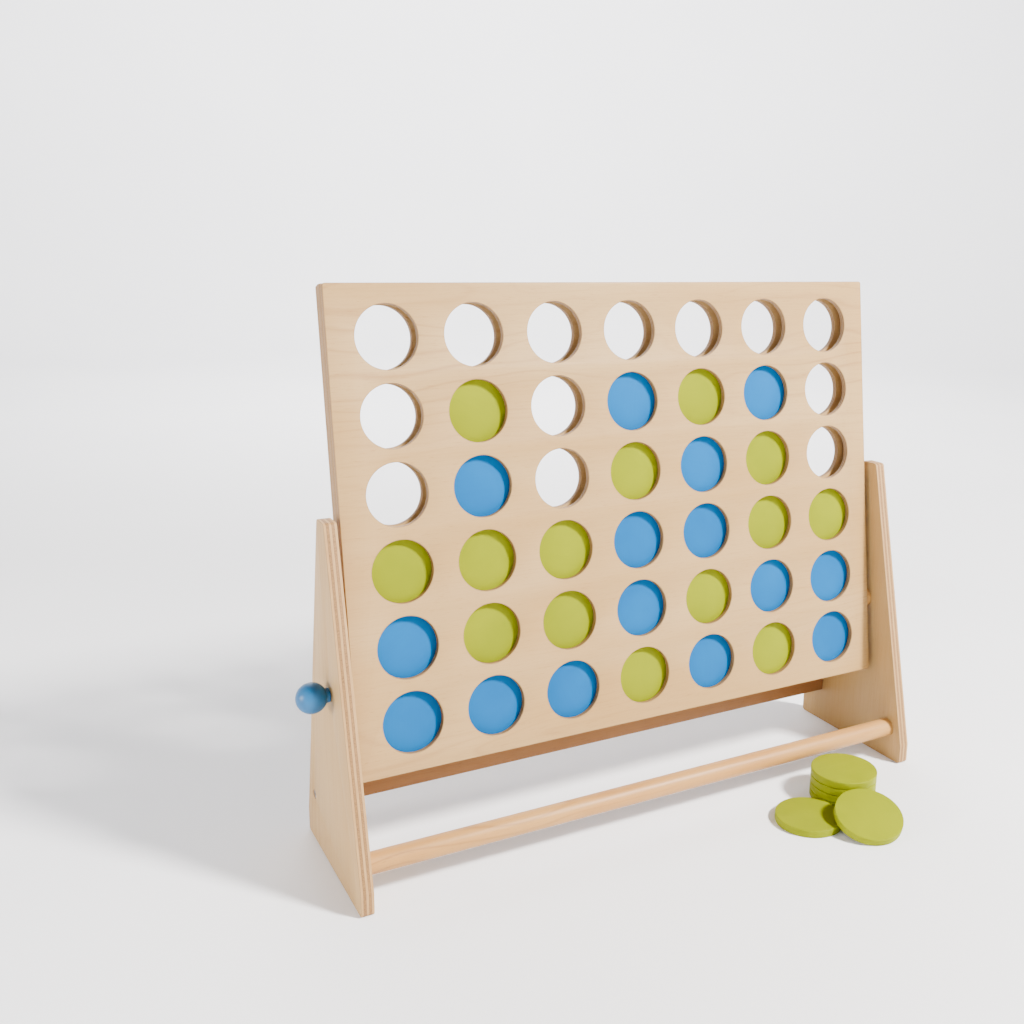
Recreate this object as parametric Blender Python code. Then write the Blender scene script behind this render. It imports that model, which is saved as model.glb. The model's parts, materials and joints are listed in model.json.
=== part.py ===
"""Giant four in a row: a slotted plywood board hung between two legs on clamp knobs, with its chips.

Metres, +Z up. +X is the player's right, -Y the front. The floor is z = 0, and the origin is the
centre of the footprint, loose chips included. The board leans back, and turns about the knob studs.
"""

import math

import bmesh
import bpy
from mathutils import Matrix, Vector

# Game grid
COLUMNS = 7
ROWS = 6
CHIP_PITCH = 0.070  # chips stack edge to edge, so the row pitch is one chip
COLUMN_PITCH = 0.083
HOLE_D = 0.058
CHIP_D = 0.0694
CHIP_T = 0.008
SLOT_WIDTH = 0.071

# Board
PANEL_T = 0.006
SLOT_DEPTH = 0.010
TOP_MARGIN = 0.047  # top row centres to the board's top edge
BOTTOM_MARGIN = 0.046
SIDE_MARGIN = 0.054  # outer column centres to the board's side edges
PIVOT_ABOVE_BOTTOM_ROW = 0.037
LEAN = math.radians(8)

# Legs and stand
LEG_T = 0.012
LEG_HEIGHT = 0.337
LEG_FOOT = 0.170
LEG_TOP = 0.022
LEG_BASE = 0.022  # height up to which the leg's edges are upright
LEG_CORNER_R = 0.004
SIDE_GAP = 0.006  # board side to leg
PIVOT_Z = 0.180
PIVOT_FORWARD = 0.0096  # tilt axis ahead of the legs' centre line
STRETCHER_FRONT = 0.050  # from the legs' centre line to the stretcher's front face
STRETCHER_T = 0.018
STRETCHER_LOW = 0.040
STRETCHER_HIGH = 0.080
DOWEL_D = 0.020
DOWEL_FORWARD = 0.062
DOWEL_Z = 0.037
DOWEL_SOCKET = 0.007

# Fasteners
STUD_R = 0.0025
STUD_BORE_R = 0.0029
INSERT_R = 0.0040
INSERT_L = 0.015
BALL_R = 0.014
BALL_OUT = 0.016  # leg's outer face to the ball's centre
BALL_NECK_R = 0.0065
SPACER_R = 0.011
SCREW_Z = 0.050
SCREW_HEAD_R = 0.0040
SCREW_SHANK_R = 0.0020
SCREW_L = 0.038
SCREW_TIP_L = 0.004

GAP = 0.0003  # between touching pieces
OVERCUT = 0.001  # how far a cutter runs past the face it opens

HOLE_SEGMENTS = 20
CHIP_SEGMENTS = 24
ROUND_SEGMENTS = 16
SMALL_SEGMENTS = 12

# Chips in each column, left to right, from the slot floor up: G green, B blue
CHIPS = ("BBG", "BGGBG", "BGG", "GBBGB", "BGBBG", "GBGGB", "BBG")

# Loose chips, right and forward of the legs' centre: a stack, one flat on the floor, and one that
# leans on the stack, on its side nearest the player and a little to the left
STACK_AT = (0.201, 0.111)
STACK_CHIPS = 4
FLAT_CHIP_AT = (0.135, 0.135)
LEANING_TILT = math.radians(18)
LEANING_TURN = math.radians(20)  # from straight ahead of the stack towards the left

# Worked out from the sizes above
BOARD_HALF_WIDTH = (COLUMNS - 1) / 2 * COLUMN_PITCH + SIDE_MARGIN
BOARD_BOTTOM = -PIVOT_ABOVE_BOTTOM_ROW - BOTTOM_MARGIN
TOP_ROW = (ROWS - 1) * CHIP_PITCH - PIVOT_ABOVE_BOTTOM_ROW
BOARD_TOP = TOP_ROW + TOP_MARGIN
SLOT_FLOOR = -PIVOT_ABOVE_BOTTOM_ROW - CHIP_PITCH / 2
LEG_INNER_X = BOARD_HALF_WIDTH + SIDE_GAP
LEG_OUTER_X = LEG_INNER_X + LEG_T
FRONT_REACH = 0.2105  # from the legs' centre line to the front of the leaning chip
STAND_Y = (FRONT_REACH - LEG_FOOT / 2) / 2  # puts the footprint's centre at y = 0
PIVOT_Y = STAND_Y - PIVOT_FORWARD
SIDES = (("left", -1), ("right", 1))


def clear_scene():
    for obj in list(bpy.data.objects):
        bpy.data.objects.remove(obj)


def material(name, colour, roughness, metallic=0.0):
    made = bpy.data.materials.new(name)
    made.use_nodes = True
    shader = made.node_tree.nodes["Principled BSDF"]
    shader.inputs["Base Color"].default_value = (*colour, 1.0)
    shader.inputs["Roughness"].default_value = roughness
    shader.inputs["Metallic"].default_value = metallic
    return made


def solid(name, bm, finish, parent=None, location=(0, 0, 0), rotation=(0, 0, 0)):
    """An object from a bmesh whose faces are turned outward, shaded smooth where it is round."""
    bmesh.ops.recalc_face_normals(bm, faces=bm.faces)
    mesh = bpy.data.meshes.new(name)
    bm.to_mesh(mesh)
    bm.free()
    mesh.shade_smooth()
    mesh.set_sharp_from_angle(angle=math.radians(40))
    mesh.materials.append(finish)
    return place(name, mesh, parent, location, rotation)


def place(name, mesh, parent=None, location=(0, 0, 0), rotation=(0, 0, 0)):
    obj = bpy.data.objects.new(name, mesh)
    bpy.context.scene.collection.objects.link(obj)
    obj.parent = parent
    obj.location = location
    obj.rotation_euler = rotation
    return obj


def axis_empty(name, location, rotation=(0, 0, 0)):
    return place(name, None, location=location, rotation=rotation)


def cut(obj, bm, finish):
    """Cuts the bmesh, given in the object's own frame, out of the object."""
    cutter = solid(obj.name + "_cutter", bm, finish, obj)
    cutter.hide_render = True
    cutter.display_type = "WIRE"
    boolean = obj.modifiers.new("holes", "BOOLEAN")
    boolean.operation = "DIFFERENCE"
    boolean.solver = "EXACT"
    boolean.object = cutter


def add_block(bm, low, high):
    low, high = Vector(low), Vector(high)
    at = Matrix.Translation((low + high) / 2) @ Matrix.Diagonal((*(high - low), 1.0))
    bmesh.ops.create_cube(bm, size=1.0, matrix=at)


def add_turned(bm, profile, segments, at=None, ring=False):
    """A solid of revolution about +Z from (radius, height) points.

    The profile starts and ends on the axis, or with ring it is a closed loop off the axis.
    """
    at = at or Matrix.Identity(4)
    rows = []
    for radius, height in profile:
        if radius == 0:
            rows.append([bm.verts.new(at @ Vector((0, 0, height)))])
            continue
        angles = [2 * math.pi * k / segments for k in range(segments)]
        points = [Vector((radius * math.cos(a), radius * math.sin(a), height)) for a in angles]
        rows.append([bm.verts.new(at @ p) for p in points])
    pairs = list(zip(rows, rows[1:] + rows[:1] if ring else rows[1:]))
    for low, high in pairs:
        for k in range(segments):
            n = (k + 1) % segments
            corners = [low[k % len(low)], low[n % len(low)], high[n % len(high)], high[k % len(high)]]
            bm.faces.new(list(dict.fromkeys(corners)))


def rod_profile(radius, low, high):
    return [(0, low), (radius, low), (radius, high), (0, high)]


def ring_profile(inner, outer, low, high):
    return [(inner, low), (outer, low), (outer, high), (inner, high)]


def outward(side, x=0.0, y=0.0, z=0.0):
    """A frame at (x, y, z) whose +Z points away from the board on that side."""
    return Matrix.Translation((x, y, z)) @ Matrix.Rotation(side * math.pi / 2, 4, "Y")


def leg_outline():
    """The leg's outline in Y and Z: upright edges at the foot, then tapered, all corners rounded."""
    foot, top = LEG_FOOT / 2, LEG_TOP / 2
    slope = math.atan2(foot - top, LEG_HEIGHT - LEG_BASE)
    half = corner_arc(Vector((foot, 0)), -math.pi / 2, 0)
    half.append((foot, LEG_BASE))
    half += corner_arc(Vector((top, LEG_HEIGHT)), slope, math.pi / 2)
    return half + [(-y, z) for y, z in reversed(half)]


def corner_arc(corner, start, end):
    """A corner's rounding, between edges whose outward directions are the angles start and end."""
    middle = Vector((math.cos((start + end) / 2), math.sin((start + end) / 2)))
    centre = corner - middle * (LEG_CORNER_R / math.cos((end - start) / 2))
    steps = 3
    arc = [start + (end - start) * k / steps for k in range(steps + 1)]
    return [tuple(centre + LEG_CORNER_R * Vector((math.cos(a), math.sin(a)))) for a in arc]


def make_leg(name, side, finish):
    """Origin on the floor, at the inner face, under the middle of the leg."""
    bm = bmesh.new()
    inner = [bm.verts.new((0, y, z)) for y, z in leg_outline()]
    outer = [bm.verts.new((side * LEG_T, y, z)) for y, z in leg_outline()]
    bm.faces.new(inner)
    bm.faces.new(outer)
    for k in range(len(inner)):
        n = (k + 1) % len(inner)
        bm.faces.new((inner[k], inner[n], outer[n], outer[k]))
    leg = solid(name, bm, finish, location=(side * LEG_INNER_X, STAND_Y, 0))

    holes = bmesh.new()
    screw_y = STRETCHER_FRONT + STRETCHER_T / 2
    stud = rod_profile(STUD_BORE_R, -OVERCUT, LEG_T + OVERCUT)
    add_turned(holes, stud, SMALL_SEGMENTS, outward(side, 0, -PIVOT_FORWARD, PIVOT_Z))
    socket = rod_profile(DOWEL_D / 2 + GAP, -OVERCUT, DOWEL_SOCKET + GAP)
    add_turned(holes, socket, ROUND_SEGMENTS, outward(side, 0, -DOWEL_FORWARD, DOWEL_Z))
    sunk = [(r + 1.5 * GAP, z) for r, z in screw_head(LEG_T)]
    screw = [(0, -OVERCUT), (sunk[1][0], -OVERCUT), *sunk[1:3], (sunk[2][0], LEG_T + OVERCUT)]
    add_turned(holes, [*screw, (0, LEG_T + OVERCUT)], SMALL_SEGMENTS, outward(side, 0, screw_y, SCREW_Z))
    cut(leg, holes, finish)
    return leg


def screw_head(top):
    """Shank and countersunk head of a screw whose head lies just under the height top."""
    sunk = top - 2 * GAP
    cone = SCREW_HEAD_R - SCREW_SHANK_R
    return [
        (SCREW_SHANK_R, sunk - SCREW_L + SCREW_TIP_L),
        (SCREW_SHANK_R, sunk - cone),
        (SCREW_HEAD_R, sunk),
    ]


def make_stretcher(wood, steel):
    """The flat bar glued between the legs, with a screw through each leg into its end."""
    half = LEG_INNER_X - GAP
    bm = bmesh.new()
    add_block(bm, (-half, -STRETCHER_T / 2, STRETCHER_LOW), (half, STRETCHER_T / 2, STRETCHER_HIGH))
    y = STAND_Y + STRETCHER_FRONT + STRETCHER_T / 2
    bar = solid("rear_stretcher", bm, wood, location=(0, y, 0))
    holes = bmesh.new()
    head = screw_head(LEG_T)
    tip = (0, head[0][1] - SCREW_TIP_L)
    pilot = rod_profile(SCREW_SHANK_R + GAP, tip[1] - GAP, OVERCUT)
    for name, side in SIDES:
        at = outward(side, side * LEG_INNER_X, 0, SCREW_Z)
        add_turned(holes, pilot, SMALL_SEGMENTS, at)
        bm = bmesh.new()
        add_turned(bm, [tip, *head, (0, head[-1][1])], SMALL_SEGMENTS, at)
        solid(f"{name}_stretcher_screw", bm, steel, location=(0, y, 0))
    cut(bar, holes, wood)


def make_front_dowel(finish):
    half = LEG_INNER_X + DOWEL_SOCKET
    bm = bmesh.new()
    add_turned(bm, rod_profile(DOWEL_D / 2, -half, half), ROUND_SEGMENTS, outward(1))
    solid("front_dowel", bm, finish, location=(0, STAND_Y - DOWEL_FORWARD, DOWEL_Z))


def column_x(column):
    return (column - (COLUMNS - 1) / 2) * COLUMN_PITCH


def row_z(row):
    """Height of a row's centre above the tilt axis, along the board. Row 0 is the lowest."""
    return row * CHIP_PITCH - PIVOT_ABOVE_BOTTOM_ROW


def make_panel(name, facing, finish, board):
    """A face of the board with a viewing hole for each cell. facing is -1 for the front."""
    near, far = sorted((facing * SLOT_DEPTH / 2, facing * (SLOT_DEPTH / 2 + PANEL_T)))
    bm = bmesh.new()
    add_block(bm, (-BOARD_HALF_WIDTH, near, BOARD_BOTTOM), (BOARD_HALF_WIDTH, far, BOARD_TOP))
    panel = solid(name, bm, finish, board)
    holes = bmesh.new()
    turn = Matrix.Rotation(math.pi / 2, 4, "X")
    for column in range(COLUMNS):
        for row in range(ROWS):
            at = Matrix.Translation((column_x(column), 0, row_z(row))) @ turn
            drill = rod_profile(HOLE_D / 2, -far - OVERCUT, -near + OVERCUT)
            add_turned(holes, drill, HOLE_SEGMENTS, at)
    cut(panel, holes, finish)


def make_board_core(ply, steel, board):
    """The strips between the two faces: a floor under the slots, dividers and side rails."""
    half_t = SLOT_DEPTH / 2 - GAP
    rail_inner = column_x(COLUMNS - 1) + SLOT_WIDTH / 2
    bm = bmesh.new()
    floor_half = rail_inner - GAP
    add_block(bm, (-floor_half, -half_t, BOARD_BOTTOM), (floor_half, half_t, SLOT_FLOOR))
    solid("base_rail", bm, ply, board)

    divider_half = (COLUMN_PITCH - SLOT_WIDTH) / 2
    for k in range(COLUMNS - 1):
        bm = bmesh.new()
        low = (-divider_half, -half_t, SLOT_FLOOR + GAP)
        add_block(bm, low, (divider_half, half_t, BOARD_TOP))
        middle = (column_x(k) + column_x(k + 1)) / 2
        solid(f"slot_divider_{k + 1}", bm, ply, board, (middle, 0, 0))

    for name, side in SIDES:
        bm = bmesh.new()
        ends = sorted((side * rail_inner, side * BOARD_HALF_WIDTH))
        add_block(bm, (ends[0], -half_t, BOARD_BOTTOM), (ends[1], half_t, BOARD_TOP))
        rail = solid(f"{name}_side_rail", bm, ply, board)
        bore = bmesh.new()
        at = outward(side, side * BOARD_HALF_WIDTH)
        add_turned(bore, rod_profile(INSERT_R + GAP, -INSERT_L - GAP, OVERCUT), SMALL_SEGMENTS, at)
        cut(rail, bore, ply)
        bm = bmesh.new()
        tube = ring_profile(STUD_BORE_R, INSERT_R, -INSERT_L, 0)
        add_turned(bm, tube, SMALL_SEGMENTS, at, ring=True)
        solid(f"{name}_threaded_insert", bm, steel, board)


def ball_profile():
    """A ball on a short neck, with a blind bore that takes the stud."""
    base = GAP
    bore = STUD_R + GAP
    bore_end = BALL_OUT - 0.003
    start = math.asin(BALL_NECK_R / BALL_R)
    steps = 10
    arc = [start + (math.pi - start) * k / steps for k in range(steps + 1)]
    ball = [(BALL_R * math.sin(a), BALL_OUT - BALL_R * math.cos(a)) for a in arc[:-1]]
    inside = [(0, bore_end), (bore, bore_end), (bore, base)]
    return [*inside, (BALL_NECK_R, base), *ball, (0, BALL_OUT + BALL_R)]


def make_knob(name, side, blue, steel, wood):
    """Clamp knob on the tilt axis, with its stud, and the spacer between leg and board."""
    axis = axis_empty(f"{name}_knob_axis", (side * LEG_OUTER_X, PIVOT_Y, PIVOT_Z))
    axis.rotation_euler = (0, side * math.pi / 2, 0)
    bm = bmesh.new()
    add_turned(bm, ball_profile(), ROUND_SEGMENTS)
    solid(f"{name}_knob_ball", bm, blue, axis)
    bm = bmesh.new()
    stud_in = -(LEG_T + SIDE_GAP + INSERT_L - 0.003)
    add_turned(bm, rod_profile(STUD_R, stud_in, BALL_OUT - 0.003 - GAP), SMALL_SEGMENTS)
    solid(f"{name}_knob_stud", bm, steel, axis)
    bm = bmesh.new()
    spacer = ring_profile(STUD_BORE_R, SPACER_R, -LEG_T - SIDE_GAP + GAP, -LEG_T - GAP)
    add_turned(bm, spacer, ROUND_SEGMENTS, ring=True)
    solid(f"{name}_tilt_spacer", bm, wood, axis)


def chip_mesh(name, finish):
    """A disc lying flat, its origin at its centre."""
    bm = bmesh.new()
    add_turned(bm, rod_profile(CHIP_D / 2, -CHIP_T / 2, CHIP_T / 2), CHIP_SEGMENTS)
    sample = solid(name, bm, finish)
    mesh = sample.data
    bpy.data.objects.remove(sample)
    return mesh


def make_chips(meshes, board):
    upright = (math.pi / 2, 0, 0)
    for column, stack in enumerate(CHIPS):
        for row, colour in enumerate(stack):
            name = f"chip_c{column + 1}_r{row + 1}"
            place(name, meshes[colour], board, (column_x(column), 0, row_z(row)), upright)
    stack = Vector((STACK_AT[0], STAND_Y - STACK_AT[1], CHIP_T / 2))
    for level in range(STACK_CHIPS):
        z = level * (CHIP_T + GAP)
        place(f"loose_chip_{level + 1}", meshes["G"], location=stack + Vector((0, 0, z)))
    flat = (FLAT_CHIP_AT[0], STAND_Y - FLAT_CHIP_AT[1], CHIP_T / 2)
    place(f"loose_chip_{STACK_CHIPS + 1}", meshes["G"], location=flat)
    # The leaning chip's front rim is on the floor, and its back rim against the stack
    turn = Matrix.Rotation(-LEANING_TURN, 3, "Z") @ Matrix.Rotation(LEANING_TILT, 3, "X")
    rim = turn @ Vector((0, CHIP_D / 2, -CHIP_T / 2))
    behind = turn @ Vector((0, 1, 0))
    touching = stack - behind.xy.normalized().to_3d() * (CHIP_D / 2 + 2 * GAP)
    centre = Vector((touching.x - rim.x, touching.y - rim.y, rim.z + CHIP_T * math.cos(LEANING_TILT)))
    leaning = f"loose_chip_{STACK_CHIPS + 2}"
    place(leaning, meshes["G"], location=centre, rotation=turn.to_euler())


def main():
    clear_scene()
    ply = material("birch_ply", (0.80, 0.65, 0.47), 0.55)
    beech = material("beech", (0.68, 0.44, 0.20), 0.5)
    steel = material("zinc_steel", (0.55, 0.55, 0.56), 0.35, 1.0)
    knob_blue = material("knob_blue", (0.05, 0.20, 0.42), 0.35)
    green = material("green_paint", (0.55, 0.63, 0.02), 0.45)
    blue = material("blue_paint", (0.03, 0.33, 0.75), 0.45)

    for name, side in SIDES:
        make_leg(f"{name}_leg", side, ply)
    make_stretcher(ply, steel)
    make_front_dowel(beech)

    board = axis_empty("board_tilt_axis", (0, PIVOT_Y, PIVOT_Z), (-LEAN, 0, 0))
    make_panel("front_panel", -1, ply, board)
    make_panel("back_panel", 1, ply, board)
    make_board_core(ply, steel, board)
    for name, side in SIDES:
        make_knob(name, side, knob_blue, steel, beech)

    meshes = {"G": chip_mesh("green_chip", green), "B": chip_mesh("blue_chip", blue)}
    make_chips(meshes, board)


main()
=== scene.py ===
"""Looks of the giant four in a row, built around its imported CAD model. Metres, +Z up."""

import json
import math
import random

import bmesh
import bpy
from mathutils import Matrix, Vector


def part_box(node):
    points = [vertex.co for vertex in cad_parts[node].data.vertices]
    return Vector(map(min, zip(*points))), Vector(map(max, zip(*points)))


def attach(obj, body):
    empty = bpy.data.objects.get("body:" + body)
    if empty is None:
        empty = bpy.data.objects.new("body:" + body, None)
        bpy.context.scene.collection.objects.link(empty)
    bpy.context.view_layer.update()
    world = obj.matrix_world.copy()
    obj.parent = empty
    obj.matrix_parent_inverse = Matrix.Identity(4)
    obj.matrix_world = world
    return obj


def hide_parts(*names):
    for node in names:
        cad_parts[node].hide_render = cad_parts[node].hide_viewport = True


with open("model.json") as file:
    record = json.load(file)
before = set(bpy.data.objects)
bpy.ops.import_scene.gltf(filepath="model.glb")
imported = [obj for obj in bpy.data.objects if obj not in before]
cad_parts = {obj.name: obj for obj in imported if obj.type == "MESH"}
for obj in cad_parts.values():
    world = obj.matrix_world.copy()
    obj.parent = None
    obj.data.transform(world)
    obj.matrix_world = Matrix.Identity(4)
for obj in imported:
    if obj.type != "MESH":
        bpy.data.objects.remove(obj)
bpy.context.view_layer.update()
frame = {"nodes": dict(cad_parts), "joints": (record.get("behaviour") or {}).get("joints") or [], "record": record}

# Sizes that the frame's boxes don't give
HOLE_R = 0.029
LEG_TOP_WIDTH = 0.022
LEG_BASE = 0.022  # height up to which the leg's edges are upright
LEG_CORNER_R = 0.004
BOARD_CORNER_R = 0.0025
BALL_R = 0.014
BALL_NECK_R = 0.0065
STUD_HOLE_R = 0.0029
GLUE_LINE = 0.00004  # gap left where two boards are glued
PANEL_PLY = 0.0012  # one layer of the board's plywood
LEG_PLY = 0.0024

# Screws
SCREW_HEAD_R = 0.0040
SCREW_SHANK_R = 0.0020
SCREW_ROOT_R = 0.0015  # at the bottom of the thread
SCREW_NECK_R = 0.0016  # the plain part between thread and head
SCREW_RIM_R = 0.0038
SCREW_GAP = 0.0003  # between the head and the leg's drilled hole
SCREW_POINT = 0.004  # plain length before the thread
SCREW_NECK = 0.008  # plain length after it
SCREW_TURNS = 9
RECESS_LENGTH = 0.0042
RECESS_WIDTH = 0.0009
RECESS_CUT = 0.0032  # height of the cutter, half of it below the head

# Round-overs
PLY_ROUND = 0.0005
CHIP_ROUND = 0.0009
STRIP_ROUND = 0.0004
STRETCHER_ROUND = 0.0012
DOWEL_ROUND = 0.0002
SPACER_ROUND = 0.0006
NECK_ROUND = 0.0004

# Steps round a circle
HOLE_STEPS = 96
CHIP_STEPS = 96
ROUND_STEPS = 64
BALL_STEPS = 40  # from neck to crown
SCREW_STEPS = 32
FLOOR_STEPS = 96

# Edges sharper than these many degrees aren't smoothed over
PLATE_SHARP = 50
ROUND_SHARP = 35

SIDES = (("left", -1), ("right", 1))
dice = random.Random(4)


# ---------------------------------------------------------------- frame

joints = {joint["name"]: joint for joint in frame["joints"]}
pivot = Vector(joints["board_tilt"]["pos_m"])
board_up = Vector(joints["chip_c1_r1_slide"]["axis"]).normalized()
slots = {part["node"]: part["material_slot"] for part in frame["record"]["subparts"]}


def axes(x, y, z, origin=(0, 0, 0)):
    """The matrix of a frame whose axes and origin are these world vectors."""
    turn = Matrix((Vector(x), Vector(y), Vector(z))).transposed().to_4x4()
    return Matrix.Translation(origin) @ turn


# Board frame: X to the right, Y up the board, Z out of its front, origin on the tilt axis
board = axes((1, 0, 0), board_up, Vector((1, 0, 0)).cross(board_up), pivot)


def extent(node, at=Matrix.Identity(4)):
    """Lowest and highest corner of a CAD node in the frame at."""
    inverse = at.inverted()
    points = [inverse @ v.co for v in frame["nodes"][node].data.vertices]
    low = Vector(min(p[k] for p in points) for k in range(3))
    high = Vector(max(p[k] for p in points) for k in range(3))
    return low, high


# ---------------------------------------------------------------- mesh tools


def link(name, mesh, at, materials):
    obj = bpy.data.objects.new(name, mesh)
    bpy.context.scene.collection.objects.link(obj)
    obj.matrix_world = at
    for made in materials:
        mesh.materials.append(made)
    return obj


def mark_grain(obj, along=(1, 0, 0)):
    """Stores where each point lies in the wood: x along the grain, z through the thickness.

    along is the grain's direction in the piece's own frame.
    """
    shift = Vector((dice.uniform(-3, 3), dice.uniform(-3, 3), 0))
    turn = Matrix.Identity(3)
    if tuple(along) == (0, 1, 0):
        turn = Matrix(((0, 1, 0), (-1, 0, 0), (0, 0, 1)))
    elif tuple(along) == (0, 0, 1):
        turn = Matrix(((0, 0, 1), (0, 1, 0), (-1, 0, 0)))
    attribute = obj.data.attributes.new("grain_at", "FLOAT_VECTOR", "POINT")
    for item, vertex in zip(attribute.data, obj.data.vertices):
        item.vector = turn @ vertex.co + shift


def stand_for(obj, node, body):
    """The piece rides on the body and hides the CAD node."""
    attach(obj, body)
    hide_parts(node)
    return obj


def bake(obj):
    """Moves the piece's placing into its mesh, so that its bounding box is its true extent."""
    obj.data.transform(obj.matrix_world)
    obj.matrix_world = Matrix.Identity(4)


def circle(centre, radius, steps):
    """Points round a circle, anticlockwise."""
    angles = [2 * math.pi * k / steps for k in range(steps)]
    return [(centre[0] + radius * math.cos(a), centre[1] + radius * math.sin(a)) for a in angles]


def rounded(corners, radius, steps=6):
    """A closed outline with each corner turned into an arc. corners run anticlockwise."""
    outline = []
    for k, corner in enumerate(corners):
        here = Vector(corner)
        before = (Vector(corners[k - 1]) - here).normalized()
        after = (Vector(corners[(k + 1) % len(corners)]) - here).normalized()
        half = before.angle(after) / 2
        centre = here + (before + after).normalized() * (radius / math.sin(half))
        start = here + before * (radius / math.tan(half)) - centre
        sweep = math.pi - 2 * half
        for step in range(steps + 1):
            turn = Matrix.Rotation(sweep * step / steps, 2)
            outline.append(tuple(centre + turn @ start))
    return outline


def inset(outline, distance):
    """The outline moved inward by a small distance. It runs anticlockwise."""
    moved = []
    for k, point in enumerate(outline):
        here = Vector(point)
        run = (Vector(outline[(k + 1) % len(outline)]) - Vector(outline[k - 1])).normalized()
        moved.append(tuple(here + Vector((-run.y, run.x)) * distance))
    return moved


def plate(name, outline, drilled, half_thickness, at, face, edge):
    """A plate in the frame at, its edges and holes rounded over. drilled holds (centre, radius)."""
    curve = bpy.data.curves.new(name, "CURVE")
    curve.dimensions = "2D"
    curve.fill_mode = "BOTH"
    curve.extrude = half_thickness - PLY_ROUND
    curve.bevel_depth = PLY_ROUND
    curve.bevel_resolution = 2
    loops = [inset(outline, PLY_ROUND)]
    loops += [circle(centre, radius + PLY_ROUND, HOLE_STEPS) for centre, radius in drilled]
    for loop in loops:
        spline = curve.splines.new("POLY")
        spline.points.add(len(loop) - 1)
        for point, (x, y) in zip(spline.points, loop):
            point.co = (x, y, 0, 1)
        spline.use_cyclic_u = True
    guide = bpy.data.objects.new(name + "_guide", curve)
    bpy.context.scene.collection.objects.link(guide)
    bpy.context.view_layer.update()
    graph = bpy.context.evaluated_depsgraph_get()
    mesh = bpy.data.meshes.new_from_object(guide.evaluated_get(graph))
    bpy.data.objects.remove(guide)
    mesh.name = name
    mesh.materials.clear()

    bm = bmesh.new()
    bm.from_mesh(mesh)
    bmesh.ops.remove_doubles(bm, verts=bm.verts, dist=1e-6)
    bmesh.ops.recalc_face_normals(bm, faces=bm.faces)
    for polygon in bm.faces:
        flat = abs(polygon.normal.z) > 0.999
        polygon.smooth = not flat
        polygon.material_index = 0 if flat else 1
    bm.to_mesh(mesh)
    bm.free()
    mesh.set_sharp_from_angle(angle=math.radians(PLATE_SHARP))
    return link(name, mesh, at, [face, edge])


def turned(name, profile, steps, at, materials, ring=False):
    """A solid of revolution about the frame's Z from (radius, height) points."""
    bm = bmesh.new()
    rows = []
    for radius, height in profile:
        count = 1 if radius == 0 else steps
        points = [(x, y, height) for x, y in circle((0, 0), radius, count)]
        rows.append([bm.verts.new(p) for p in points])
    for low, high in zip(rows, rows[1:] + rows[:1] if ring else rows[1:]):
        for k in range(steps):
            n = k + 1
            corners = [low[k % len(low)], low[n % len(low)], high[n % len(high)], high[k % len(high)]]
            bm.faces.new(list(dict.fromkeys(corners)))
    bmesh.ops.recalc_face_normals(bm, faces=bm.faces)
    mesh = bpy.data.meshes.new(name)
    bm.to_mesh(mesh)
    bm.free()
    mesh.shade_smooth()
    mesh.set_sharp_from_angle(angle=math.radians(ROUND_SHARP))
    return link(name, mesh, at, materials)


def quarter(centre, radius, start, steps=5):
    """Points of a quarter turn, anticlockwise from the angle start, in degrees."""
    angles = [math.radians(start + 90 * k / steps) for k in range(steps + 1)]
    return [(centre[0] + radius * math.cos(a), centre[1] + radius * math.sin(a)) for a in angles]


def rod_profile(radius, low, high, soft):
    """A rod's profile with its two ends rounded over by soft."""
    foot = quarter((radius - soft, low + soft), soft, 270)
    head = quarter((radius - soft, high - soft), soft, 0)
    return [(0, low), *foot, *head, (0, high)]


def ring_profile(inner, outer, low, high, soft):
    """A ring's profile, its outer corners rounded over by soft."""
    foot = quarter((outer - soft, low + soft), soft, 270)
    head = quarter((outer - soft, high - soft), soft, 0)
    return [(inner, low), *foot, *head, (inner, high)]


def bar(name, low, high, soft, at, face, edge):
    """A rectangular strip with softened edges. The faces across the frame's Z take face."""
    bm = bmesh.new()
    size, middle = high - low, (low + high) / 2
    bmesh.ops.create_cube(bm, size=1.0, matrix=Matrix.Diagonal((*size, 1.0)))
    bmesh.ops.bevel(bm, geom=bm.edges[:], offset=soft, segments=3, profile=0.5, affect="EDGES")
    for polygon in bm.faces:
        polygon.smooth = True
        polygon.material_index = 0 if abs(polygon.normal.z) > 0.9 else 1
    mesh = bpy.data.meshes.new(name)
    bm.to_mesh(mesh)
    bm.free()
    mesh.set_sharp_from_angle(angle=math.radians(ROUND_SHARP))
    return link(name, mesh, at @ Matrix.Translation(middle), [face, edge])


# ---------------------------------------------------------------- materials


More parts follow.
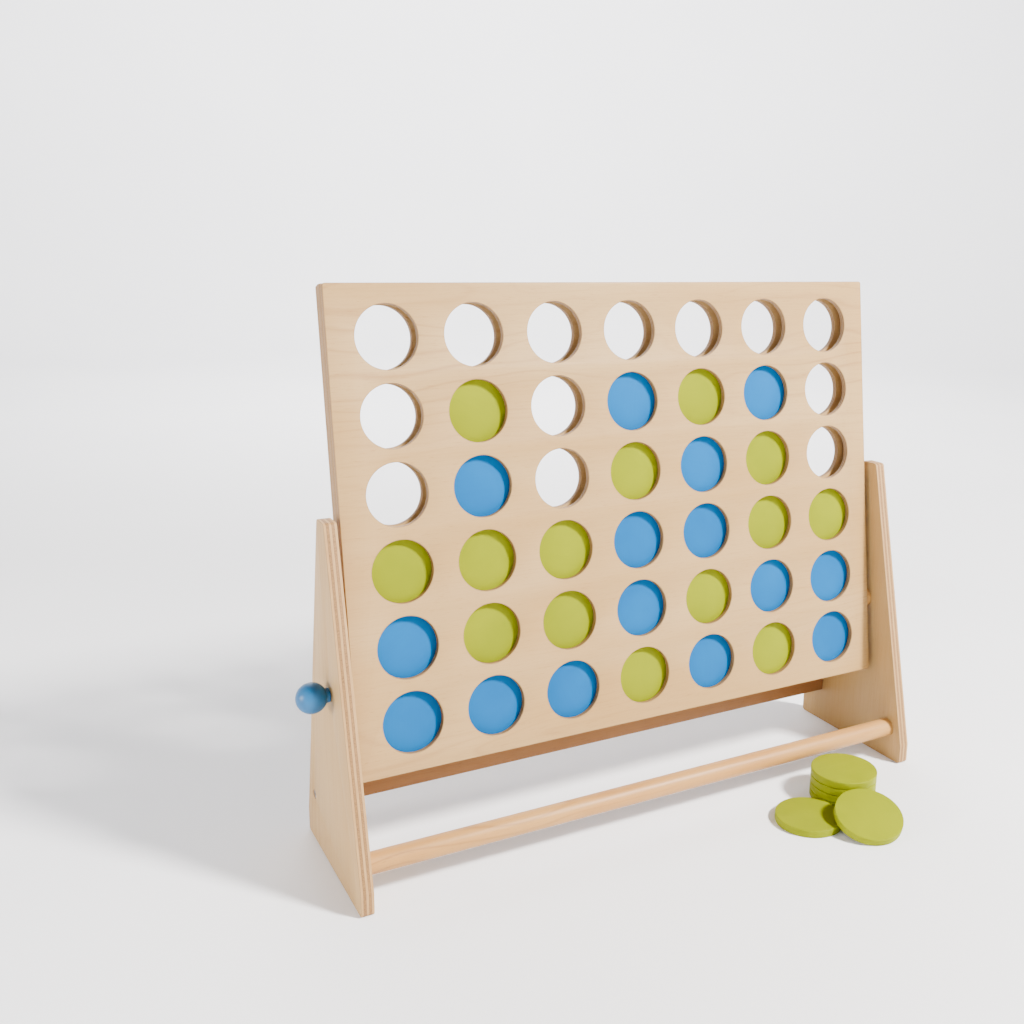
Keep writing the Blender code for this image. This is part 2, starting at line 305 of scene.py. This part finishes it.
class Nodes:
    """Short names for building one material's node tree."""

    def __init__(self, name):
        self.material = bpy.data.materials.new(name)
        self.material.use_nodes = True
        self.tree = self.material.node_tree
        self.shader = self.tree.nodes["Principled BSDF"]

    def add(self, kind, inputs=(), **settings):
        node = self.tree.nodes.new(kind)
        for key, value in settings.items():
            setattr(node, key, value)
        for key, value in dict(inputs).items():
            self.feed(node, key, value)
        return node

    def feed(self, node, key, value):
        if isinstance(value, bpy.types.NodeSocket):
            self.tree.links.new(value, node.inputs[key])
        else:
            node.inputs[key].default_value = value

    def shade(self, **inputs):
        for key, value in inputs.items():
            self.feed(self.shader, key.replace("_", " "), value)

    def math(self, operation, a, b=0.0):
        return self.add("ShaderNodeMath", {0: a, 1: b}, operation=operation).outputs[0]

    def mix(self, factor, a, b):
        node = self.add("ShaderNodeMix", data_type="RGBA", blend_type="MIX")
        for key, value in ((0, factor), (6, a), (7, b)):
            self.feed(node, key, value)
        return node.outputs[2]

    def ramp(self, value, *stops):
        """A colour ramp; stops are (position, colour), or (position, grey)."""
        node = self.add("ShaderNodeValToRGB", {0: value})
        elements = node.color_ramp.elements
        while len(elements) < len(stops):
            elements.new(0.5)
        for element, (position, colour) in zip(elements, stops):
            element.position = position
            element.color = colour if isinstance(colour, tuple) else (colour, colour, colour, 1)
        return node.outputs[0]

    def grain(self, x, y, z):
        """The point in the wood, scaled along the grain, across it and through it."""
        at = self.add("ShaderNodeAttribute", attribute_name="grain_at").outputs["Vector"]
        return self.add("ShaderNodeVectorMath", {0: at, 1: (x, y, z)}, operation="MULTIPLY").outputs[0]

    def noise(self, vector, scale, detail=2.0, rough=0.5, distort=0.0):
        inputs = {"Vector": vector, "Scale": scale, "Detail": detail, "Roughness": rough}
        inputs["Distortion"] = distort
        return self.add("ShaderNodeTexNoise", inputs).outputs[0]

    def bump(self, height, strength, distance):
        inputs = {"Height": height, "Strength": strength, "Distance": distance}
        return self.add("ShaderNodeBump", inputs).outputs[0]


def rgb(red, green, blue):
    """A colour from 0 to 255 screen values, made linear."""
    def linear(value):
        share = value / 255
        return share / 12.92 if share <= 0.04045 else ((share + 0.055) / 1.055) ** 2.4
    return (linear(red), linear(green), linear(blue), 1.0)


def wood(name, pale, deep, pink, roughness=0.5, figure=1.0, gloss=0.35):
    """Planed wood: soft clouds of tone, growth figure, fine fibres and short pores."""
    n = Nodes(name)
    clouds = n.noise(n.grain(2.2, 9.0, 2.0), 1.0, 3.0, 0.55, 0.4)
    base = n.mix(n.ramp(clouds, (0.35, 0.0), (0.68, 1.0)), pale, pink)
    warp = n.noise(n.grain(3.0, 14.0, 3.0), 1.0, 2.0)
    across = n.add("ShaderNodeSeparateXYZ", {0: n.grain(1.0, 1.0, 1.0)}).outputs[1]
    bands = n.math("ADD", n.math("MULTIPLY", across, 62.0), n.math("MULTIPLY", warp, 9.0))
    wave = n.math("ABSOLUTE", n.math("SINE", n.math("MULTIPLY", bands, math.pi)))
    lines = n.ramp(wave, (0.0, 1.0), (0.45, 0.0))
    patches = n.ramp(n.noise(n.grain(1.5, 5.0, 1.0), 1.0, 1.0), (0.42, 0.0), (0.7, 1.0))
    base = n.mix(n.math("MULTIPLY", n.math("MULTIPLY", lines, patches), 0.30 * figure), base, deep)
    fibres = n.noise(n.grain(18.0, 620.0, 620.0), 1.0, 3.0, 0.6)
    base = n.mix(n.math("MULTIPLY", n.ramp(fibres, (0.45, 0.0), (0.75, 1.0)), 0.16), base, deep)
    pores = n.noise(n.grain(110.0, 1500.0, 1500.0), 1.0, 1.0)
    base = n.mix(n.math("MULTIPLY", n.ramp(pores, (0.66, 0.0), (0.74, 1.0)), 0.35), base, deep)
    relief = n.math("ADD", fibres, n.math("MULTIPLY", pores, -0.7))
    rough = n.math("ADD", n.math("MULTIPLY", fibres, 0.16), roughness - 0.08)
    n.shade(Base_Color=base, Roughness=rough, Normal=n.bump(relief, 0.25, 0.0002))
    n.shader.inputs["Specular IOR Level"].default_value = gloss
    return n.material


def ply_edge(name, layer, light, dark, glue):
    """The cut edge of plywood: layers in turn along and across the cut, with dark glue lines."""
    n = Nodes(name)
    depth = n.add("ShaderNodeSeparateXYZ", {0: n.grain(1.0, 1.0, 1.0)}).outputs[2]
    wander = n.math("MULTIPLY", n.math("SUBTRACT", n.noise(n.grain(25, 25, 4), 1.0), 0.5), 0.0004)
    at_layer = n.math("ADD", n.math("DIVIDE", n.math("ADD", depth, wander), layer), 100.5)
    parity = n.math("MODULO", n.math("FLOOR", at_layer), 2.0)
    streaks = n.noise(n.grain(60, 60, 900), 1.0, 3.0, 0.6)
    dots = n.noise(n.grain(1400, 1400, 700), 1.0, 2.0, 0.6)
    long_grain = n.mix(n.ramp(streaks, (0.35, 0.0), (0.75, 0.6)), light, dark)
    end_grain = n.mix(n.ramp(dots, (0.40, 0.0), (0.68, 0.7)), dark, glue)
    base = n.mix(parity, long_grain, end_grain)
    seam = n.math("PINGPONG", at_layer, 0.5)
    base = n.mix(n.ramp(seam, (0.0, 0.75), (0.10, 0.0)), base, glue)
    relief = n.math("ADD", dots, streaks)
    n.shade(Base_Color=base, Roughness=0.62, Normal=n.bump(relief, 0.3, 0.0002))
    return n.material


def painted(name, colour, shade, roughness):
    """Brushed paint on wood: faint grain under it, a soft brush texture and small tone changes."""
    n = Nodes(name)
    clouds = n.noise(n.grain(14, 14, 14), 1.0, 3.0)
    base = n.mix(n.ramp(clouds, (0.35, 0.0), (0.72, 1.0)), colour, shade)
    strokes = n.noise(n.grain(22, 520, 300), 1.0, 3.0, 0.6)
    base = n.mix(n.math("MULTIPLY", n.ramp(strokes, (0.40, 0.0), (0.80, 1.0)), 0.22), base, shade)
    specks = n.noise(n.grain(900, 900, 900), 1.0, 1.0)
    relief = n.math("ADD", strokes, n.math("MULTIPLY", specks, 0.35))
    rough = n.math("ADD", n.math("MULTIPLY", strokes, 0.18), roughness - 0.09)
    n.shade(Base_Color=base, Roughness=rough, Normal=n.bump(relief, 0.22, 0.00025))
    n.shader.inputs["Specular IOR Level"].default_value = 0.06
    return n.material


def gloss_paint(name, colour, shade):
    """Dipped gloss paint on a turned ball."""
    n = Nodes(name)
    clouds = n.noise(n.grain(60, 60, 60), 1.0, 2.0)
    base = n.mix(n.ramp(clouds, (0.3, 0.0), (0.75, 1.0)), colour, shade)
    peel = n.noise(n.grain(500, 500, 500), 1.0, 1.0)
    n.shade(Base_Color=base, Roughness=0.38, Normal=n.bump(peel, 0.12, 0.0002))
    n.shader.inputs["Specular IOR Level"].default_value = 0.3
    return n.material


def steel(name, colour):
    """Zinc-plated steel with fine turning marks."""
    n = Nodes(name)
    at = n.add("ShaderNodeTexCoord").outputs["Object"]
    marks = n.add("ShaderNodeTexNoise", {"Vector": at, "Scale": 900.0, "Detail": 2.0}).outputs[0]
    spots = n.add("ShaderNodeTexNoise", {"Vector": at, "Scale": 260.0, "Detail": 2.0}).outputs[0]
    base = n.mix(n.ramp(spots, (0.35, 0.0), (0.75, 0.5)), colour, rgb(96, 92, 84))
    rough = n.math("ADD", n.math("MULTIPLY", marks, 0.25), 0.2)
    n.shade(Base_Color=base, Roughness=rough, Normal=n.bump(marks, 0.1, 0.0001))
    n.shader.inputs["Metallic"].default_value = 1.0
    return n.material


BIRCH = wood("birch_face", rgb(178, 144, 94), rgb(134, 90, 46), rgb(168, 130, 74), 0.5, 1.4)
BIRCH_EDGE = ply_edge("birch_ply_edge", PANEL_PLY, rgb(166, 130, 82), rgb(134, 96, 50), rgb(82, 54, 26))
LEG_EDGE = ply_edge("leg_ply_edge", LEG_PLY, rgb(178, 140, 88), rgb(150, 108, 58), rgb(84, 54, 26))
BEECH = wood("beech_rod", rgb(186, 140, 78), rgb(126, 78, 32), rgb(172, 118, 58), 0.45, 1.4)
# The stretcher is the board's light wood, its colours darkened below the birch as painted shade for the board's
# shadow that falls on it
SHADE_DARKENED_BAR_WOOD = wood("bar_wood_painted_shade", rgb(146, 102, 60), rgb(98, 62, 32), rgb(134, 90, 50), 0.5, gloss=0.15)
GREEN = painted("green_paint", rgb(128, 135, 0), rgb(116, 124, 0), 0.42)
BLUE = painted("blue_paint", rgb(0, 94, 152), rgb(0, 84, 140), 0.42)
BALL_BLUE = gloss_paint("ball_paint", rgb(30, 96, 142), rgb(24, 86, 130))
ZINC = steel("zinc_steel", rgb(186, 186, 190))


# ---------------------------------------------------------------- board


def cell_centre(name):
    """The middle of a chip's CAD node, in the board frame."""
    low, high = extent(name, board)
    return (low + high) / 2


first = cell_centre("chip_c1_r1")
column_pitch = cell_centre("chip_c2_r1").x - first.x
row_pitch = cell_centre("chip_c1_r2").y - first.y
columns = 1 + round(-2 * first.x / column_pitch)
panel_high = extent("front_panel", board)[1]
rows = int((panel_high.y - first.y) / row_pitch) + 1
holes = [
    ((first.x + c * column_pitch, first.y + r * row_pitch), HOLE_R)
    for c in range(columns)
    for r in range(rows)
]


def make_panels():
    for name in ("front_panel", "back_panel"):
        low, high = extent(name, board)
        corners = [(low.x, low.y), (high.x, low.y), (high.x, high.y), (low.x, high.y)]
        at = board @ Matrix.Translation((0, 0, (low.z + high.z) / 2))
        half = (high.z - low.z) / 2
        outline = rounded(corners, BOARD_CORNER_R)
        panel = plate(name + "_ply", outline, holes, half, at, BIRCH, BIRCH_EDGE)
        mark_grain(panel)
        stand_for(panel, name, "board")


def make_core():
    """Dividers, side rails and base rail, glued between the two faces."""
    gap_low = extent("back_panel", board)[1].z + GLUE_LINE
    gap_high = extent("front_panel", board)[0].z - GLUE_LINE
    names = [f"slot_divider_{k + 1}" for k in range(columns - 1)]
    names += ["left_side_rail", "right_side_rail", "base_rail"]
    for name in names:
        low, high = extent(name, board)
        low.z, high.z = gap_low, gap_high
        strip = bar(name + "_strip", low, high, STRIP_ROUND, board, BIRCH, BIRCH_EDGE)
        mark_grain(strip, (1, 0, 0) if name == "base_rail" else (0, 1, 0))
        stand_for(strip, name, "board")


def disc_frame(node):
    """A frame at a CAD disc's centre, its Z along the disc's axis, with its radius and half thickness."""
    mesh = frame["nodes"][node].data
    axis = max(mesh.polygons, key=lambda polygon: polygon.area).normal.copy()
    axis *= 1 if axis.z > 0 else -1
    turn = Vector((0, 0, 1)).rotation_difference(axis).to_matrix().to_4x4()
    low, high = extent(node, turn)
    return turn @ Matrix.Translation((low + high) / 2), (high.x - low.x) / 2, (high.z - low.z) / 2


def make_chips():
    for joint in joints.values():
        node = joint["child"]
        if "chip" not in node:
            continue
        at, radius, half = disc_frame(node)
        spin = Matrix.Rotation(dice.uniform(0, 2 * math.pi), 4, "Z")
        profile = rod_profile(radius, -half, half, CHIP_ROUND)
        green = slots[node] == "green_chip"
        chip = turned(node + "_disc", profile, CHIP_STEPS, at @ spin, [GREEN if green else BLUE])
        mark_grain(chip)
        bake(chip)
        stand_for(chip, node, node)


# ---------------------------------------------------------------- stand


def make_legs():
    for name, side in SIDES:
        low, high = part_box(f"{name}_leg")
        middle = (low + high) / 2
        origin = (middle.x, middle.y, 0)
        at = axes((0, 0, 1), (0, -side, 0), (side, 0, 0), origin)
        foot, top = (high.y - low.y) / 2, LEG_TOP_WIDTH / 2
        edge = [(0, -foot), (LEG_BASE, -foot), (high.z, -top)]
        outline = rounded(edge + [(z, -y) for z, y in reversed(edge)], LEG_CORNER_R)
        screw_low, screw_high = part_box(f"{name}_stretcher_screw")
        screw = at.inverted() @ ((screw_low + screw_high) / 2)
        stud = at.inverted() @ pivot
        drilled = [((stud.x, stud.y), STUD_HOLE_R), ((screw.x, screw.y), SCREW_HEAD_R + SCREW_GAP)]
        half = (high.x - low.x) / 2
        leg = plate(f"{name}_leg_ply", outline, drilled, half, at, BIRCH, LEG_EDGE)
        mark_grain(leg)
        stand_for(leg, f"{name}_leg", "stand")


def make_bars():
    face = axes((1, 0, 0), (0, 0, 1), (0, -1, 0))
    low, high = extent("rear_stretcher", face)
    # The stretcher's wood carries painted shade: darker than the birch, standing in for the board's shadow
    stretcher = bar("rear_stretcher_bar", low, high, STRETCHER_ROUND, face, SHADE_DARKENED_BAR_WOOD, SHADE_DARKENED_BAR_WOOD)
    mark_grain(stretcher)
    stand_for(stretcher, "rear_stretcher", "stand")

    low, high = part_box("front_dowel")
    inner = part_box("right_leg")[0].x
    middle, radius = (low + high) / 2, (high.z - low.z) / 2
    at = axes((0, 1, 0), (0, 0, 1), (1, 0, 0), middle)
    profile = rod_profile(radius, -inner, inner, DOWEL_ROUND)
    rod = turned("front_dowel_rod", profile, ROUND_STEPS, at, [BEECH])
    mark_grain(rod, (0, 0, 1))
    stand_for(rod, "front_dowel", "stand")


def make_screws():
    """Countersunk screws with a cross recess, their heads just under the legs' outer faces."""
    for name, side in SIDES:
        low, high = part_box(f"{name}_stretcher_screw")
        middle = (low + high) / 2
        at = axes((0, 1, 0), (0, 0, side), (side, 0, 0), middle)
        length = high.x - low.x
        top, cone = length / 2, SCREW_HEAD_R - SCREW_SHANK_R
        thread_low, thread_high = -top + SCREW_POINT, top - cone - SCREW_NECK
        pitch = (thread_high - thread_low) / SCREW_TURNS
        thread = []
        for k in range(SCREW_TURNS):
            start = thread_low + k * pitch
            thread += [(SCREW_ROOT_R, start), (SCREW_SHANK_R, start + pitch / 2)]
        neck = [(SCREW_NECK_R, thread_high), (SCREW_NECK_R, top - cone)]
        head = [(SCREW_RIM_R, top - 0.0003), (SCREW_HEAD_R, top - 0.0001), (SCREW_RIM_R, top)]
        profile = [(0, -top), *thread, *neck, *head, (0, top)]
        screw = turned(f"{name}_stretcher_screw_cross", profile, SCREW_STEPS, at, [ZINC])
        cutter_mesh = bmesh.new()
        for x, y in ((RECESS_LENGTH, RECESS_WIDTH), (RECESS_WIDTH, RECESS_LENGTH)):
            size = (x, y, RECESS_CUT)
            place = Matrix.Translation((0, 0, top)) @ Matrix.Diagonal((*size, 1.0))
            bmesh.ops.create_cube(cutter_mesh, size=1.0, matrix=place)
        mesh = bpy.data.meshes.new("recess")
        cutter_mesh.to_mesh(mesh)
        cutter_mesh.free()
        cutter = link("recess", mesh, at, [ZINC])
        boolean = screw.modifiers.new("recess", "BOOLEAN")
        boolean.object, boolean.solver, boolean.use_self = cutter, "EXACT", True
        bpy.context.view_layer.update()
        graph = bpy.context.evaluated_depsgraph_get()
        result = bpy.data.meshes.new_from_object(screw.evaluated_get(graph))
        screw.modifiers.clear()
        screw.data = result
        bpy.data.objects.remove(cutter)
        stand_for(screw, f"{name}_stretcher_screw", "stand")


# ---------------------------------------------------------------- knobs


def make_knobs():
    for name, side in SIDES:
        body = f"{name}_knob"
        leg_low, leg_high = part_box(f"{name}_leg")
        outer = side * max(abs(leg_low.x), abs(leg_high.x))
        at = axes((0, 0, 1), (0, side, 0), (side, 0, 0), (outer, pivot.y, pivot.z))

        low, high = extent(f"{name}_knob_ball", at)
        centre = high.z - BALL_R
        start = math.asin(BALL_NECK_R / BALL_R)
        angles = [start + (math.pi - start) * k / BALL_STEPS for k in range(BALL_STEPS)]
        ball = [(BALL_R * math.sin(a), centre - BALL_R * math.cos(a)) for a in angles]
        neck = [(BALL_NECK_R - NECK_ROUND, low.z), (BALL_NECK_R, low.z + NECK_ROUND)]
        profile = [(0, low.z), *neck, *ball, (0, high.z)]
        knob = turned(f"{name}_knob_sphere", profile, ROUND_STEPS, at, [BALL_BLUE])
        mark_grain(knob)
        stand_for(knob, f"{name}_knob_ball", body)

        low, high = extent(f"{name}_tilt_spacer", at)
        profile = ring_profile(STUD_HOLE_R, (high.y - low.y) / 2, low.z, high.z, SPACER_ROUND)
        spacer = turned(f"{name}_tilt_ring", profile, ROUND_STEPS, at, [BEECH], ring=True)
        mark_grain(spacer)
        stand_for(spacer, f"{name}_tilt_spacer", "stand")

        for node in (f"{name}_knob_stud", f"{name}_threaded_insert"):
            mesh = frame["nodes"][node].data
            mesh.materials.clear()
            mesh.materials.append(ZINC)


# ---------------------------------------------------------------- stage


def make_stage():
    """A pale floor that curves up into a pale wall all round."""
    n = Nodes("pale_floor")
    at = n.add("ShaderNodeTexCoord").outputs["Object"]
    cloud = n.add("ShaderNodeTexNoise", {"Vector": at, "Scale": 1.5, "Detail": 2.0}).outputs[0]
    base = n.mix(n.ramp(cloud, (0.3, 0.0), (0.8, 1.0)), rgb(247, 247, 249), rgb(243, 243, 246))
    n.shade(Base_Color=base, Roughness=0.7)
    flat_r, cove_r, wall = 4.5, 1.5, 6.5
    cove = [(flat_r + x, cove_r + z) for x, z in quarter((0, 0), cove_r, 270, 12)]
    profile = [(0, 0), *cove, (flat_r + cove_r, wall)]
    floor = turned("floor", profile, FLOOR_STEPS, Matrix.Identity(4), [n.material])


def area_light(name, at, aim, size, power, colour):
    data = bpy.data.lights.new(name, "AREA")
    data.shape = "DISK"
    data.size = size
    data.energy = power
    data.color = colour
    lamp = bpy.data.objects.new(name, data)
    bpy.context.scene.collection.objects.link(lamp)
    lamp.location = at
    lamp.rotation_euler = (Vector(aim) - Vector(at)).to_track_quat("-Z", "Y").to_euler()
    lamp.visible_camera = False


def make_lights():
    aim = (0, 0, 0.25)
    area_light("key", (1.5, -1.85, 2.4), aim, 0.55, 400, (1.0, 0.97, 0.93))
    area_light("sheen", (1.5, -3.0, 1.3), aim, 2.0, 12, (1.0, 1.0, 1.0))
    area_light("side", (-2.6, 0.1, 0.55), aim, 0.6, 60, (1.0, 0.98, 0.95))
    area_light("back", (0.3, 2.2, 2.2), aim, 1.8, 40, (1.0, 1.0, 1.0))
    area_light("backdrop", (0.8, 2.4, 3.0), (3.2, 6.0, 0.6), 2.5, 360, (1.0, 1.0, 1.0))
    world = bpy.data.worlds.new("studio")
    bpy.context.scene.world = world
    world.use_nodes = True
    background = world.node_tree.nodes["Background"]
    background.inputs["Color"].default_value = rgb(245, 246, 250)
    background.inputs["Strength"].default_value = 0.18


def make_camera():
    data = bpy.data.cameras.new("camera")
    data.lens = 38.37
    data.shift_x = -0.085
    data.shift_y = -0.014
    camera = bpy.data.objects.new("camera", data)
    bpy.context.scene.collection.objects.link(camera)
    camera.location = (-0.561, -0.848, 0.579)
    camera.rotation_euler = [math.radians(a) for a in (76.65, -1.11, -29.31)]
    bpy.context.scene.camera = camera


make_camera()
make_panels()
make_core()
make_chips()
make_legs()
make_bars()
make_screws()
make_knobs()
make_stage()
make_lights()
